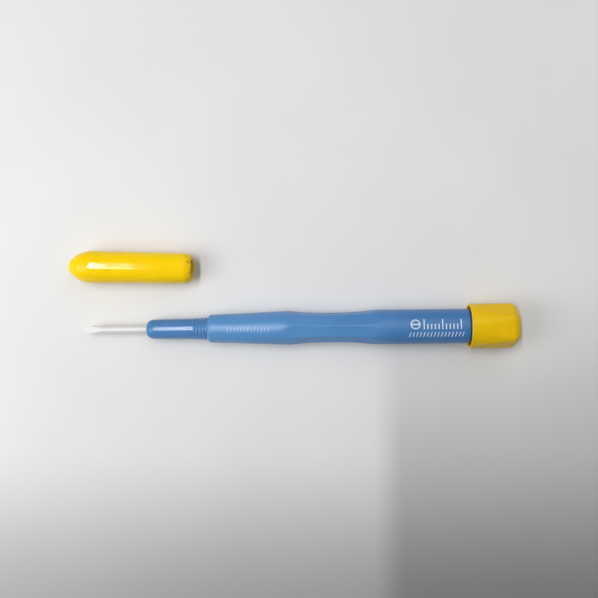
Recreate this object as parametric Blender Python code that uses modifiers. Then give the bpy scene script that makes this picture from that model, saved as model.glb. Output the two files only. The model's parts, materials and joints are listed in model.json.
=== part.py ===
"""A trimmer screwdriver with a ceramic blade, resting on a table beside its pull-off blade cover.

Every piece is modelled on its own local Z axis, from its front end at z = 0 backwards. The tool's pieces
are children of the empty tool_axis and the cover is a child of the empty cover_axis. The empties turn
local Z to world X, local X to world Y and local Y to world Z, so the blade points to -X.
"""

import math

import bmesh
import bpy
from mathutils import Matrix, Vector

MM = 0.001

# Driving dimensions, along the tool from the blade's tip.
BLADE_REACH = 15.0 * MM
NOSE_LENGTH = 14.7 * MM
HANDLE_SHOWN = 62.1 * MM
CAP_LENGTH = 11.5 * MM

# Fits. Pieces that touch on the real tool stand FIT_GAP apart, and the journal turns with RUNNING_GAP.
FIT_GAP = 0.1 * MM
RUNNING_GAP = 0.08 * MM

# The zirconia blade: a round rod, ground to a screwdriver tip.
ROD_RADIUS = 0.9 * MM
ROOT_DEPTH = 12.0 * MM
ROOT_FLAT_LENGTH = 7.0 * MM
ROOT_FLAT_HEIGHT = 0.65 * MM
TIP_WIDTH = 1.3 * MM
TIP_THICKNESS = 0.4 * MM
WIDTH_GRIND = 2.5 * MM
THICKNESS_GRIND = 4.0 * MM

# The blade holder: a glossy nose with four fine rings, and a shank pressed into the handle.
NOSE_FRONT_RADIUS = 2.34 * MM
NOSE_BACK_RADIUS = 2.46 * MM
NOSE_ROUND_LENGTH = 1.8 * MM
NOSE_FACE_RADIUS = 1.3 * MM
RING_COUNT = 4
RING_PITCH = 0.78 * MM
RING_START = 11.3 * MM
RING_WIDTH = 0.40 * MM
RING_CREST_RADIUS = 2.6 * MM
NOSE_SPIGOT = 1.0 * MM
SPIGOT_RADIUS = 2.3 * MM
SHANK_RADIUS = 1.8 * MM
SHANK_LENGTH = 14.0 * MM
SHANK_CHAMFER = 0.4 * MM

# The handle: a turned body with eight concave finger flats scooped into its waist.
HANDLE_INSIDE_CAP = 2.0 * MM
HANDLE_FRONT_RADIUS = 3.34 * MM
HANDLE_FRONT_ROUND = 0.8 * MM
NECK_STATION = 5.5 * MM
NECK_RADIUS = 3.46 * MM
SHOULDER_STATION = 19.3 * MM
SHOULDER_RADIUS = 4.05 * MM
REAR_STATION = 40.0 * MM
REAR_RADIUS = 4.1 * MM
HANDLE_REAR_CHAMFER = 0.35 * MM
FLAT_COUNT = 8
SCOOP_STATION = 29.5 * MM
SCOOP_HALF_LENGTH = 11.65 * MM
SCOOP_DEPTH = 0.78 * MM
SCOOP_POWER = 2.6
SCOOP_OVERRUN = 1.15
SCOOP_WIDTH = 8.0 * MM
HANDLE_ROLL = math.radians(-8.6)

# The swivel end: a headed steel pin, a thrust washer, and the cap with its closing plug.
PIN_HEAD_RADIUS = 2.0 * MM
PIN_HEAD_THICKNESS = 0.9 * MM
JOURNAL_RADIUS = 1.2 * MM
TAIL_RADIUS = 1.3 * MM
TAIL_LENGTH = 10.5 * MM
BARB_COUNT = 3
BARB_PITCH = 2.2 * MM
BARB_HEIGHT = 0.14 * MM
BARB_LENGTH = 0.7 * MM
WASHER_RADIUS = 3.3 * MM
WASHER_THICKNESS = 0.6 * MM
LIP_RADIUS = 5.42 * MM
LIP_WIDTH = 0.7 * MM
LIP_ROUND = 0.15 * MM
CAP_NECK_RADIUS = 5.22 * MM
CAP_RADIUS = 5.38 * MM
CAP_END_LENGTH = 1.8 * MM
CAP_END_INSET = 2.2 * MM
CAP_MOUTH_RADIUS = 4.65 * MM
CAP_HUB_LENGTH = 5.0 * MM
COUNTERBORE_RADIUS = 2.5 * MM
PLUG_THICKNESS = 1.8 * MM
PLUG_RIM_CHAMFER = 0.25 * MM
CAP_FLAT_COUNT = 6
CAP_FLAT_APOTHEM = 4.72 * MM
CAP_ROLL = math.radians(7.0)

# The blade cover: one soft moulding with a pointed closed end.
COVER_LENGTH = 29.8 * MM
COVER_RADIUS = 3.84 * MM
COVER_MOUTH_RADIUS = 3.72 * MM
COVER_OGIVE = 5.8 * MM
COVER_TIP_RADIUS = 0.35 * MM
COVER_STRAIGHT_END = 20.0 * MM
COVER_LIP_ROUND = 0.7 * MM
COVER_BORE_RADIUS = 2.5 * MM
COVER_TIP_WALL = 1.3 * MM
COVER_BORE_END = 3.4 * MM

# Where the cover lies, seen from above: beside the blade, turned a little away from the tool.
COVER_ASIDE = 14.9 * MM
COVER_TIP_AHEAD = 3.7 * MM
COVER_YAW = math.radians(-1.4)

# Facets around each turned piece, and across each rounded corner.
STEPS = 48
SMALL_STEPS = 32
SCOOP_STEPS = 30
CORNER_POINTS = 4
MERGE_DISTANCE = 0.001 * MM

# What follows from the driving dimensions.
HANDLE_FRONT = BLADE_REACH + NOSE_LENGTH
HANDLE_LENGTH = HANDLE_SHOWN + HANDLE_INSIDE_CAP
HANDLE_REAR = HANDLE_FRONT + HANDLE_LENGTH
CAP_MOUTH = HANDLE_FRONT + HANDLE_SHOWN
CAP_END = CAP_MOUTH + CAP_LENGTH
CAP_RECESS_DEPTH = HANDLE_INSIDE_CAP + WASHER_THICKNESS + 2 * FIT_GAP
HUB_END = CAP_RECESS_DEPTH + CAP_HUB_LENGTH
SHANK_BORE = NOSE_SPIGOT + SHANK_LENGTH + 0.5 * MM
PIN_BORE = TAIL_LENGTH + 0.5 * MM
JOURNAL_LENGTH = CAP_MOUTH + HUB_END + RUNNING_GAP - HANDLE_REAR
MIDDLE_RADIUS = (SHOULDER_RADIUS + REAR_RADIUS) / 2

AXES_TO_WORLD = Matrix(((0, 0, 1), (1, 0, 0), (0, 1, 0))).to_4x4()


def clear_scene():
    """Empties the scene, and makes the collections for the tool and its cutters."""
    for old in list(bpy.data.objects):
        bpy.data.objects.remove(old)
    for old in list(bpy.data.collections):
        bpy.data.collections.remove(old)
    for name in ("ceramic_screwdriver", "cutters"):
        bpy.context.scene.collection.children.link(bpy.data.collections.new(name))


def make_material(name, colour, roughness, metallic=0.0):
    """A Principled BSDF material of one colour."""
    made = bpy.data.materials.new(name)
    made.use_nodes = True
    shader = made.node_tree.nodes["Principled BSDF"]
    shader.inputs["Base Color"].default_value = (*colour, 1.0)
    shader.inputs["Roughness"].default_value = roughness
    shader.inputs["Metallic"].default_value = metallic
    return made


def add_empty(name):
    """The empty that carries one group of pieces along its local Z axis."""
    empty = bpy.data.objects.new(name, None)
    bpy.data.collections["ceramic_screwdriver"].objects.link(empty)
    return empty


def place(obj, parent, station, roll=0.0):
    """Puts a piece on its parent's axis, at a distance along it and turned about it."""
    obj.parent = parent
    obj.location = (0, 0, station)
    obj.rotation_euler = (0, 0, roll)


def corner(centre_r, centre_z, radius_r, radius_z, start, end, count=CORNER_POINTS):
    """Points (radius, z) of an elliptical arc, between two angles in degrees from straight outwards."""
    points = []
    for step in range(count + 1):
        angle = math.radians(start + (end - start) * step / count)
        r = centre_r + radius_r * math.cos(angle)
        points.append((r, centre_z + radius_z * math.sin(angle)))
    return points


def turned(name, profile, material, steps=STEPS, closed=False):
    """A solid of revolution about local Z, from a profile that runs down its outer side to the front."""
    mesh = bpy.data.meshes.new(name)
    edges = [(i, i + 1) for i in range(len(profile) - 1)]
    if closed:
        edges.append((len(profile) - 1, 0))
    mesh.from_pydata([(r, 0, z) for r, z in profile], edges, [])
    obj = bpy.data.objects.new(name, mesh)
    bpy.data.collections["ceramic_screwdriver"].objects.link(obj)
    screw = obj.modifiers.new("turn", "SCREW")
    screw.axis = "Z"
    screw.angle = math.tau
    screw.steps = steps
    screw.render_steps = steps
    screw.use_merge_vertices = True
    screw.merge_threshold = MERGE_DISTANCE
    screw.use_smooth_shade = True
    mesh.materials.append(material)
    return obj


def new_cutter(name, mesh):
    """A hidden object that cuts another."""
    obj = bpy.data.objects.new(name, mesh)
    bpy.data.collections["cutters"].objects.link(obj)
    obj.hide_render = True
    obj.display_type = "WIRE"
    return obj


def box_cutter(name, low, high, transform=None):
    """A box between two corners, moved by a matrix if one is given."""
    mesh = bpy.data.meshes.new(name)
    shape = bmesh.new()
    bmesh.ops.create_cube(shape, size=1.0)
    low, high = Vector(low), Vector(high)
    size = high - low
    scale = Matrix.Diagonal((size.x, size.y, size.z, 1.0))
    moved = Matrix.Translation((low + high) / 2) @ scale
    if transform is not None:
        moved = transform @ moved
    bmesh.ops.transform(shape, matrix=moved, verts=shape.verts)
    shape.to_mesh(mesh)
    shape.free()
    return new_cutter(name, mesh)


def bar_cutter(name, radius, start, end, flat_height=None, steps=SMALL_STEPS):
    """A bar along Z, round or with one flat on its underside, to cut a hole of that shape."""
    mesh = bpy.data.meshes.new(name)
    shape = bmesh.new()
    bmesh.ops.create_cone(
        shape, cap_ends=True, segments=steps, radius1=radius, radius2=radius, depth=end - start
    )
    middle = Matrix.Translation((0, 0, (start + end) / 2))
    bmesh.ops.transform(shape, matrix=middle, verts=shape.verts)
    if flat_height is not None:
        cut = bmesh.ops.bisect_plane(
            shape,
            geom=shape.verts[:] + shape.edges[:] + shape.faces[:],
            plane_co=(0, -flat_height, 0),
            plane_no=(0, -1, 0),
            clear_outer=True,
        )
        rim = [item for item in cut["geom_cut"] if isinstance(item, bmesh.types.BMEdge)]
        bmesh.ops.edgeloop_fill(shape, edges=rim)
        bmesh.ops.recalc_face_normals(shape, faces=shape.faces[:])
    shape.to_mesh(mesh)
    shape.free()
    return new_cutter(name, mesh)


def cut_away(obj, cutter):
    """Subtracts a cutter that is placed in the same local frame as the piece."""
    cutter.parent = obj
    boolean = obj.modifiers.new(cutter.name, "BOOLEAN")
    boolean.operation = "DIFFERENCE"
    boolean.solver = "EXACT"
    boolean.object = cutter


def grind_side(blade, label, outward, half_size, grind_length):
    """Grinds one side of the rod to a plane that comes in to half_size at the tip."""
    slope = math.atan2(ROD_RADIUS - half_size, grind_length)
    # Local Y of the cutter points outwards, and its lower face lies on the ground plane.
    facing = Matrix.Rotation(outward, 4, "Z")
    start = Matrix.Translation((0, half_size, 0))
    transform = facing @ start @ Matrix.Rotation(-slope, 4, "X")
    spare = 2 * ROD_RADIUS
    low = (-spare, 0, -spare)
    high = (spare, spare, 2 * grind_length)
    cut_away(blade, box_cutter(label, low, high, transform))


def make_ceramic_blade(axis, material):
    """The rod, ground on two sides to the tip's thickness and on the other two to its width."""
    length = BLADE_REACH + ROOT_DEPTH
    profile = [(0, length), (ROD_RADIUS, length), (ROD_RADIUS, 0), (0, 0)]
    blade = turned("ceramic_blade", profile, material, steps=SMALL_STEPS)
    place(blade, axis, 0.0)
    for side in (0, 1):
        half_turn = math.pi * side
        grind_side(blade, f"cutter_face_{side + 1}", half_turn, TIP_THICKNESS / 2, THICKNESS_GRIND)
        quarter_turn = half_turn + math.pi / 2
        grind_side(blade, f"cutter_edge_{side + 1}", quarter_turn, TIP_WIDTH / 2, WIDTH_GRIND)
    spare = 2 * ROD_RADIUS
    root_start = length - ROOT_FLAT_LENGTH
    low = (-spare, -spare, root_start)
    high = (spare, -ROOT_FLAT_HEIGHT, length + spare)
    cut_away(blade, box_cutter("cutter_root_flat", low, high))
    return blade


def nose_rings():
    """The rings' profile, from the rear one forwards: each is a low flat-topped ridge."""
    points = []
    slope = (RING_PITCH - RING_WIDTH) / 4
    for ring in reversed(range(RING_COUNT)):
        front = RING_START + ring * RING_PITCH
        points += [
            (NOSE_BACK_RADIUS, front + RING_WIDTH + slope),
            (RING_CREST_RADIUS, front + RING_WIDTH),
            (RING_CREST_RADIUS, front),
            (NOSE_BACK_RADIUS, front - slope),
        ]
    return points


def make_blade_holder(axis, material):
    """The nose that holds the blade's root, with its spigot and shank inside the handle."""
    spigot_end = NOSE_LENGTH + NOSE_SPIGOT
    shank_end = spigot_end + SHANK_LENGTH
    profile = [
        (0, shank_end),
        (SHANK_RADIUS - SHANK_CHAMFER, shank_end),
        (SHANK_RADIUS, shank_end - SHANK_CHAMFER),
        (SHANK_RADIUS, spigot_end),
        (SPIGOT_RADIUS, spigot_end),
        (SPIGOT_RADIUS, NOSE_LENGTH - FIT_GAP),
        (NOSE_BACK_RADIUS, NOSE_LENGTH - FIT_GAP),
    ]
    profile += nose_rings()
    profile += corner(
        NOSE_FACE_RADIUS,
        NOSE_ROUND_LENGTH,
        NOSE_FRONT_RADIUS - NOSE_FACE_RADIUS,
        NOSE_ROUND_LENGTH,
        0,
        -90,
        count=5,
    )
    profile.append((0, 0))
    holder = turned("blade_holder", profile, material)
    place(holder, axis, BLADE_REACH)
    bore_radius = ROD_RADIUS + FIT_GAP
    flat_start = ROOT_DEPTH - ROOT_FLAT_LENGTH + FIT_GAP
    overlap = 0.1 * MM
    cut_away(holder, bar_cutter("cutter_round_bore", bore_radius, -1 * MM, flat_start))
    keyed = bar_cutter(
        "cutter_keyed_bore",
        bore_radius,
        flat_start - overlap,
        ROOT_DEPTH + FIT_GAP,
        flat_height=ROOT_FLAT_HEIGHT + FIT_GAP,
    )
    cut_away(holder, keyed)
    return holder


def scoop_mesh():
    """What one finger flat removes: an extruded outline whose inner edge is the flat's hollow."""
    outline = bpy.data.curves.new("scoop", "CURVE")
    outline.dimensions = "2D"
    outline.fill_mode = "BOTH"
    outline.extrude = SCOOP_WIDTH / 2
    spline = outline.splines.new("POLY")
    spline.points.add(SCOOP_STEPS)
    for step, point in enumerate(spline.points):
        reach = SCOOP_OVERRUN * (2 * step / SCOOP_STEPS - 1)
        depth = SCOOP_DEPTH * (1 - abs(reach) ** SCOOP_POWER)
        point.co = (reach * SCOOP_HALF_LENGTH, MIDDLE_RADIUS - depth, 0, 1)
    spline.use_cyclic_u = True
    obj = bpy.data.objects.new("scoop", outline)
    bpy.data.collections["cutters"].objects.link(obj)
    graph = bpy.context.evaluated_depsgraph_get()
    mesh = bpy.data.meshes.new_from_object(obj.evaluated_get(graph))
    bpy.data.objects.remove(obj)
    shape = bmesh.new()
    shape.from_mesh(mesh)
    bmesh.ops.remove_doubles(shape, verts=shape.verts, dist=MERGE_DISTANCE)
    # The outline is drawn along X, and the handle runs along Z.
    bmesh.ops.transform(shape, matrix=Matrix.Rotation(-math.pi / 2, 4, "Y"), verts=shape.verts)
    bmesh.ops.recalc_face_normals(shape, faces=shape.faces[:])
    shape.to_mesh(mesh)
    shape.free()
    return mesh


def make_handle(axis, material):
    """The turned grip, bored at both ends, with eight finger flats scooped out of its waist."""
    spigot_bore = SPIGOT_RADIUS + FIT_GAP
    profile = [
        (0, HANDLE_LENGTH - PIN_BORE),
        (TAIL_RADIUS + BARB_HEIGHT + FIT_GAP, HANDLE_LENGTH - PIN_BORE),
        (TAIL_RADIUS + BARB_HEIGHT + FIT_GAP, HANDLE_LENGTH),
        (REAR_RADIUS - HANDLE_REAR_CHAMFER, HANDLE_LENGTH),
        (REAR_RADIUS, HANDLE_LENGTH - HANDLE_REAR_CHAMFER),
        (REAR_RADIUS, REAR_STATION),
        (SHOULDER_RADIUS, SHOULDER_STATION),
        (NECK_RADIUS, NECK_STATION),
    ]
    profile += corner(
        HANDLE_FRONT_RADIUS - HANDLE_FRONT_ROUND,
        HANDLE_FRONT_ROUND,
        HANDLE_FRONT_ROUND,
        HANDLE_FRONT_ROUND,
        0,
        -90,
    )
    profile += [
        (spigot_bore, 0),
        (spigot_bore, NOSE_SPIGOT + FIT_GAP),
        (SHANK_RADIUS + FIT_GAP, NOSE_SPIGOT + FIT_GAP),
        (SHANK_RADIUS + FIT_GAP, SHANK_BORE),
        (0, SHANK_BORE),
    ]
    handle = turned("handle", profile, material)
    place(handle, axis, HANDLE_FRONT, roll=HANDLE_ROLL)
    outline = scoop_mesh()
    # The ridges, and not the flats, stand at the top of the handle.
    for flat in range(FLAT_COUNT):
        angle = math.tau * (flat + 0.5) / FLAT_COUNT
        scoop = new_cutter(f"cutter_scoop_{flat + 1}", outline)
        scoop.location = (0, 0, SCOOP_STATION)
        scoop.rotation_euler = (0, 0, angle)
        cut_away(handle, scoop)
    return handle


def make_swivel_pin(axis, material):
    """The axle of the swivel: a barbed tail in the handle, a plain journal and a head."""
    head_start = TAIL_LENGTH + JOURNAL_LENGTH
    profile = [
        (0, head_start + PIN_HEAD_THICKNESS),
        (PIN_HEAD_RADIUS - 0.2 * MM, head_start + PIN_HEAD_THICKNESS),
        (PIN_HEAD_RADIUS, head_start + PIN_HEAD_THICKNESS - 0.2 * MM),
        (PIN_HEAD_RADIUS, head_start),
        (JOURNAL_RADIUS, head_start),
        (JOURNAL_RADIUS, TAIL_LENGTH),
        (TAIL_RADIUS, TAIL_LENGTH),
    ]
    for barb in range(BARB_COUNT):
        rear = TAIL_LENGTH - 1.5 * MM - barb * BARB_PITCH
        profile += [
            (TAIL_RADIUS, rear),
            (TAIL_RADIUS + BARB_HEIGHT, rear),
            (TAIL_RADIUS, rear - BARB_LENGTH),
        ]
    profile += [(TAIL_RADIUS, 0.4 * MM), (TAIL_RADIUS - 0.4 * MM, 0), (0, 0)]
    pin = turned("swivel_pin", profile, material, steps=SMALL_STEPS)
    place(pin, axis, HANDLE_REAR - TAIL_LENGTH)
    return pin


def make_thrust_washer(axis, material):
    """The slippery ring that the cap's hub bears on when a finger presses it."""
    bore = JOURNAL_RADIUS + RUNNING_GAP
    profile = [
        (WASHER_RADIUS, WASHER_THICKNESS),
        (WASHER_RADIUS, 0),
        (bore, 0),
        (bore, WASHER_THICKNESS),
    ]
    washer = turned("thrust_washer", profile, material, steps=SMALL_STEPS, closed=True)
    place(washer, axis, HANDLE_REAR + FIT_GAP)
    return washer


def make_swivel_cap(axis, material):
    """The finger cap: round at its lipped mouth, with six flats that deepen towards its rounded end."""
    bore = JOURNAL_RADIUS + RUNNING_GAP
    end_start = CAP_LENGTH - CAP_END_LENGTH
    profile = [(COUNTERBORE_RADIUS, CAP_LENGTH)]
    profile += corner(
        CAP_RADIUS - CAP_END_INSET, end_start, CAP_END_INSET, CAP_END_LENGTH, 90, 0, count=6
    )
    profile += [
        (CAP_NECK_RADIUS, LIP_WIDTH + LIP_ROUND),
        (LIP_RADIUS, LIP_WIDTH),
        (LIP_RADIUS, LIP_ROUND),
        (LIP_RADIUS - LIP_ROUND, 0),
        (CAP_MOUTH_RADIUS, 0),
        (CAP_MOUTH_RADIUS, CAP_RECESS_DEPTH),
        (bore, CAP_RECESS_DEPTH),
        (bore, HUB_END),
        (COUNTERBORE_RADIUS, HUB_END),
    ]
    cap = turned("swivel_cap", profile, material, closed=True)
    place(cap, axis, CAP_MOUTH, roll=CAP_ROLL)
    # Each flat starts at the surface behind the lip, so its cutter never reaches the lip.
    flat_start = LIP_WIDTH + LIP_ROUND
    slope = math.atan2(CAP_NECK_RADIUS - CAP_FLAT_APOTHEM, end_start - flat_start)
    for flat in range(CAP_FLAT_COUNT):
        angle = math.tau * flat / CAP_FLAT_COUNT
        transform = (
            Matrix.Rotation(angle, 4, "Z")
            @ Matrix.Translation((0, CAP_NECK_RADIUS, flat_start))
            @ Matrix.Rotation(slope, 4, "X")
        )
        low = (-CAP_RADIUS, 0, 0)
        high = (CAP_RADIUS, CAP_RADIUS, 2 * CAP_LENGTH)
        cut_away(cap, box_cutter(f"cutter_cap_flat_{flat + 1}", low, high, transform))
    return cap


def make_cap_plug(axis, material):
    """The disc that closes the cap's counterbore over the pin's head."""
    radius = COUNTERBORE_RADIUS - FIT_GAP
    profile = [
        (0, PLUG_THICKNESS),
        (radius - PLUG_RIM_CHAMFER, PLUG_THICKNESS),
        (radius, PLUG_THICKNESS - PLUG_RIM_CHAMFER),
        (radius, 0),
        (0, 0),
    ]
    plug = turned("cap_plug", profile, material, steps=SMALL_STEPS)
    place(plug, axis, CAP_END - PLUG_THICKNESS)
    return plug


def make_blade_cover(axis, material):
    """The soft cover: a pointed closed end, a long plain tube, and a rounded open lip."""
    bore_start = COVER_TIP_WALL + COVER_BORE_END
    profile = [(0, COVER_TIP_WALL)]
    profile += corner(0, bore_start, COVER_BORE_RADIUS, COVER_BORE_END, -75, 0, count=4)
    profile.append((COVER_BORE_RADIUS, COVER_LENGTH))
    lip_radius = COVER_MOUTH_RADIUS - COVER_LIP_ROUND
    lip_station = COVER_LENGTH - COVER_LIP_ROUND
    profile += corner(lip_radius, lip_station, COVER_LIP_ROUND, COVER_LIP_ROUND, 90, 0)
    profile.append((COVER_RADIUS, COVER_STRAIGHT_END))
    ogive_radius = COVER_RADIUS - COVER_TIP_RADIUS
    profile += corner(COVER_TIP_RADIUS, COVER_OGIVE, ogive_radius, COVER_OGIVE, 0, -90, count=9)
    profile.append((0, 0))
    cover = turned("blade_cover", profile, material)
    place(cover, axis, 0.0)
    return cover


def resting_matrix(front_station, front_radius, rear_station, rear_radius, yaw=0.0):
    """Lays an axis down so that the circles at two stations both touch the table."""
    tilt = math.atan2(rear_radius - front_radius, rear_station - front_station)
    height = front_radius / math.cos(tilt) - front_station * math.sin(tilt)
    lean = Matrix.Rotation(yaw, 4, "Z") @ Matrix.Rotation(-tilt, 4, "Y")
    return Matrix.Translation((0, 0, height)) @ lean @ AXES_TO_WORLD


def world_box(objects):
    """Lowest and highest corner of the finished pieces."""
    graph = bpy.context.evaluated_depsgraph_get()
    points = []
    for obj in objects:
        evaluated = obj.evaluated_get(graph)
        mesh = evaluated.to_mesh()
        points += [evaluated.matrix_world @ vertex.co for vertex in mesh.vertices]
        evaluated.to_mesh_clear()
    low = Vector(min(p[i] for p in points) for i in range(3))
    high = Vector(max(p[i] for p in points) for i in range(3))
    return low, high


def lay_out(tool_axis, cover_axis, pieces):
    """Rests the tool and the cover on the table, then centres the pair over the world origin."""
    tool_axis.matrix_world = resting_matrix(
        HANDLE_FRONT + SHOULDER_STATION, SHOULDER_RADIUS, CAP_MOUTH + LIP_WIDTH / 2, LIP_RADIUS
    )
    # The ogive meets the straight part at its widest, and the tube narrows towards the mouth.
    cover_axis.matrix_world = resting_matrix(
        COVER_OGIVE, COVER_RADIUS, COVER_LENGTH - COVER_LIP_ROUND, COVER_MOUTH_RADIUS, yaw=COVER_YAW
    )
    yaw_run = math.sin(COVER_YAW) * COVER_LENGTH / 2
    cover_axis.location += Vector((-COVER_TIP_AHEAD, COVER_ASIDE - yaw_run, 0))
    bpy.context.view_layer.update()
    low, high = world_box(pieces)
    shift = Vector((-(low.x + high.x) / 2, -(low.y + high.y) / 2, -low.z))
    tool_axis.location += shift
    cover_axis.location += shift
    bpy.context.view_layer.update()


def main():
    clear_scene()
    zirconia = make_material("zirconia", (0.86, 0.87, 0.86), 0.28)
    nose_blue = make_material("nose_blue", (0.06, 0.19, 0.47), 0.22)
    handle_blue = make_material("handle_blue", (0.09, 0.27, 0.56), 0.42)
    steel = make_material("steel", (0.60, 0.60, 0.62), 0.30, metallic=1.0)
    acetal = make_material("acetal", (0.85, 0.85, 0.83), 0.45)
    cap_yellow = make_material("cap_yellow", (0.80, 0.52, 0.01), 0.38)
    cover_yellow = make_material("cover_yellow", (0.95, 0.68, 0.005), 0.16)

    tool_axis = add_empty("tool_axis")
    cover_axis = add_empty("cover_axis")
    pieces = [
        make_ceramic_blade(tool_axis, zirconia),
        make_blade_holder(tool_axis, nose_blue),
        make_handle(tool_axis, handle_blue),
        make_swivel_pin(tool_axis, steel),
        make_thrust_washer(tool_axis, acetal),
        make_swivel_cap(tool_axis, cap_yellow),
        make_cap_plug(tool_axis, cap_yellow),
        make_blade_cover(cover_axis, cover_yellow),
    ]
    lay_out(tool_axis, cover_axis, pieces)


main()
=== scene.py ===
# %% [markdown]
# # A ceramic trimmer screwdriver and the cover of its blade
#
# The tool turns the tiny adjusting screws on circuit boards, where a steel blade would disturb the
# circuit. Its slotted blade is white ceramic, a glossy blue nose holds the blade, and the satin blue
# handle has a waist for the fingers. The yellow cap turns freely, so that one finger can press on it while
# the others turn the handle. The glossy yellow cover pulls off the blade, and lies beside it here.
#
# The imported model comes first. It gives every place and length, and the pieces made below stand exactly
# where it says.

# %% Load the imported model
import json
import math

import bmesh
import bpy
from mathutils import Matrix, Vector, noise


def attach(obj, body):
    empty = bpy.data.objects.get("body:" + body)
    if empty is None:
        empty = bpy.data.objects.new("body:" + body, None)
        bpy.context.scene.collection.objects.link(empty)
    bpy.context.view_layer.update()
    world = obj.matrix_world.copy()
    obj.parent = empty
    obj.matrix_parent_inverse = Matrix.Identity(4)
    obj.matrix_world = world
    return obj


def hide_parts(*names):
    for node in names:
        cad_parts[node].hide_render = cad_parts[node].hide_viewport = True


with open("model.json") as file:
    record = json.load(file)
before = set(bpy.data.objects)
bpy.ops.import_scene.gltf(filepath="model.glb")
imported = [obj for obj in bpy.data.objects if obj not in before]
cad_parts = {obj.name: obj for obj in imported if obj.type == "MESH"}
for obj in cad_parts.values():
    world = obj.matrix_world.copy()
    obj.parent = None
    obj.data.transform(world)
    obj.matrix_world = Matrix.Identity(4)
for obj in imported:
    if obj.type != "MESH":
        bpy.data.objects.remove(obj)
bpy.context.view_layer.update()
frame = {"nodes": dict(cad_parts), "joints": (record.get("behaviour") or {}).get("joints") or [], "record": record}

MM = 0.001
print("nodes:", sorted(frame["nodes"]))

# %% [markdown]
# ## Two axes to work along
#
# The tool rests nose down on the shoulder of its handle and the lip of its cap, so its axis leans two
# degrees. Shaping a piece along a leaning axis is awkward. It is easier to model each piece upright, with
# its height as the distance from the blade's tip, and to lay its points down along the real axis at the
# end. Each object then stays at the origin, with its place in its mesh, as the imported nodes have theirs.

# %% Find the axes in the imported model
mounts = {mount["name"]: mount for mount in frame["record"]["mounts"]}
joints = {joint["name"]: joint for joint in frame["joints"]}


def lying_along(start, along):
    """The matrix that lays an upright piece down, with its height along a direction and its Y side up."""
    side = Vector((0, 0, 1)).cross(along).normalized()
    turned = Matrix((side, along.cross(side), along)).transposed()
    return Matrix.Translation(start) @ turned.to_4x4()


def span(node, start, along):
    """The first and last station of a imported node, measured from a point along an axis."""
    stations = [(point.co - start).dot(along) for point in frame["nodes"][node].data.vertices]
    return min(stations), max(stations)


def front_centre(node, along):
    """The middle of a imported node's front end."""
    points = [point.co for point in frame["nodes"][node].data.vertices]
    nearest = min(point.dot(along) for point in points)
    front = [point for point in points if point.dot(along) < nearest + 0.001 * MM]
    return sum(front, Vector()) / len(front)


tool_start = Vector(mounts["blade_tip"]["pos_m"])
tool_along = (Vector(mounts["cap_end"]["pos_m"]) - tool_start).normalized()
tool_lie = lying_along(tool_start, tool_along)
cover_along = -Vector(joints["cover_slide"]["axis"]).normalized()
cover_start = front_centre("blade_cover", cover_along)
cover_lie = lying_along(cover_start, cover_along)

BLADE_ROOT = span("ceramic_blade", tool_start, tool_along)[1]
NOSE_FRONT, SHANK_END = span("blade_holder", tool_start, tool_along)
HANDLE_FRONT, HANDLE_REAR = span("handle", tool_start, tool_along)
CAP_MOUTH, CAP_END = span("swivel_cap", tool_start, tool_along)
PLUG_FRONT, PLUG_END = span("cap_plug", tool_start, tool_along)
COVER_MOUTH = span("blade_cover", cover_start, cover_along)[1]
print("tool length in mm:", round(CAP_END / MM, 2), "cover:", round(COVER_MOUTH / MM, 2))

# %% [markdown]
# ## Turning a piece
#
# Almost every piece of the tool is round. A lathe piece could be a Screw modifier on a profile, or a spin.
# Here a circle is extruded upwards and resized, ring by ring, which is the same work as at the lathe and
# leaves clean rings of quads to shape further. An outline lists (height, radius) points. Where the radius
# is 0 the ring is merged into one point, and where the outline comes back to its start the piece is a tube.

# %% Helpers for turned pieces
WELD = 0.0001 * MM


def arc(height, radius, size, start, end, points=6):
    """Outline points round a corner. 0 degrees faces outwards and 90 faces the rear."""
    angles = [math.radians(start + (end - start) * step / points) for step in range(points + 1)]
    return [(height + size * math.sin(a), radius + size * math.cos(a)) for a in angles]


def run(start, end, points):
    """Evenly spaced outline points from just after one point to another."""
    steps = [step / points for step in range(1, points + 1)]
    return [(start[0] + (end[0] - start[0]) * k, start[1] + (end[1] - start[1]) * k) for k in steps]


def pick(piece, wanted):
    """Selects, in edit mode, only the points whose place passes a test."""
    bpy.ops.mesh.select_all(action="DESELECT")
    shape = bmesh.from_edit_mesh(piece.data)
    for point in shape.verts:
        point.select = wanted(point.co)
    shape.select_flush(True)
    bmesh.update_edit_mesh(piece.data)


def close_ring(height_change):
    """Draws the selected ring together into one point."""
    bpy.ops.mesh.extrude_region_move(TRANSFORM_OT_translate={"value": (0, 0, height_change)})
    bpy.ops.mesh.merge(type="CENTER")


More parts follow.
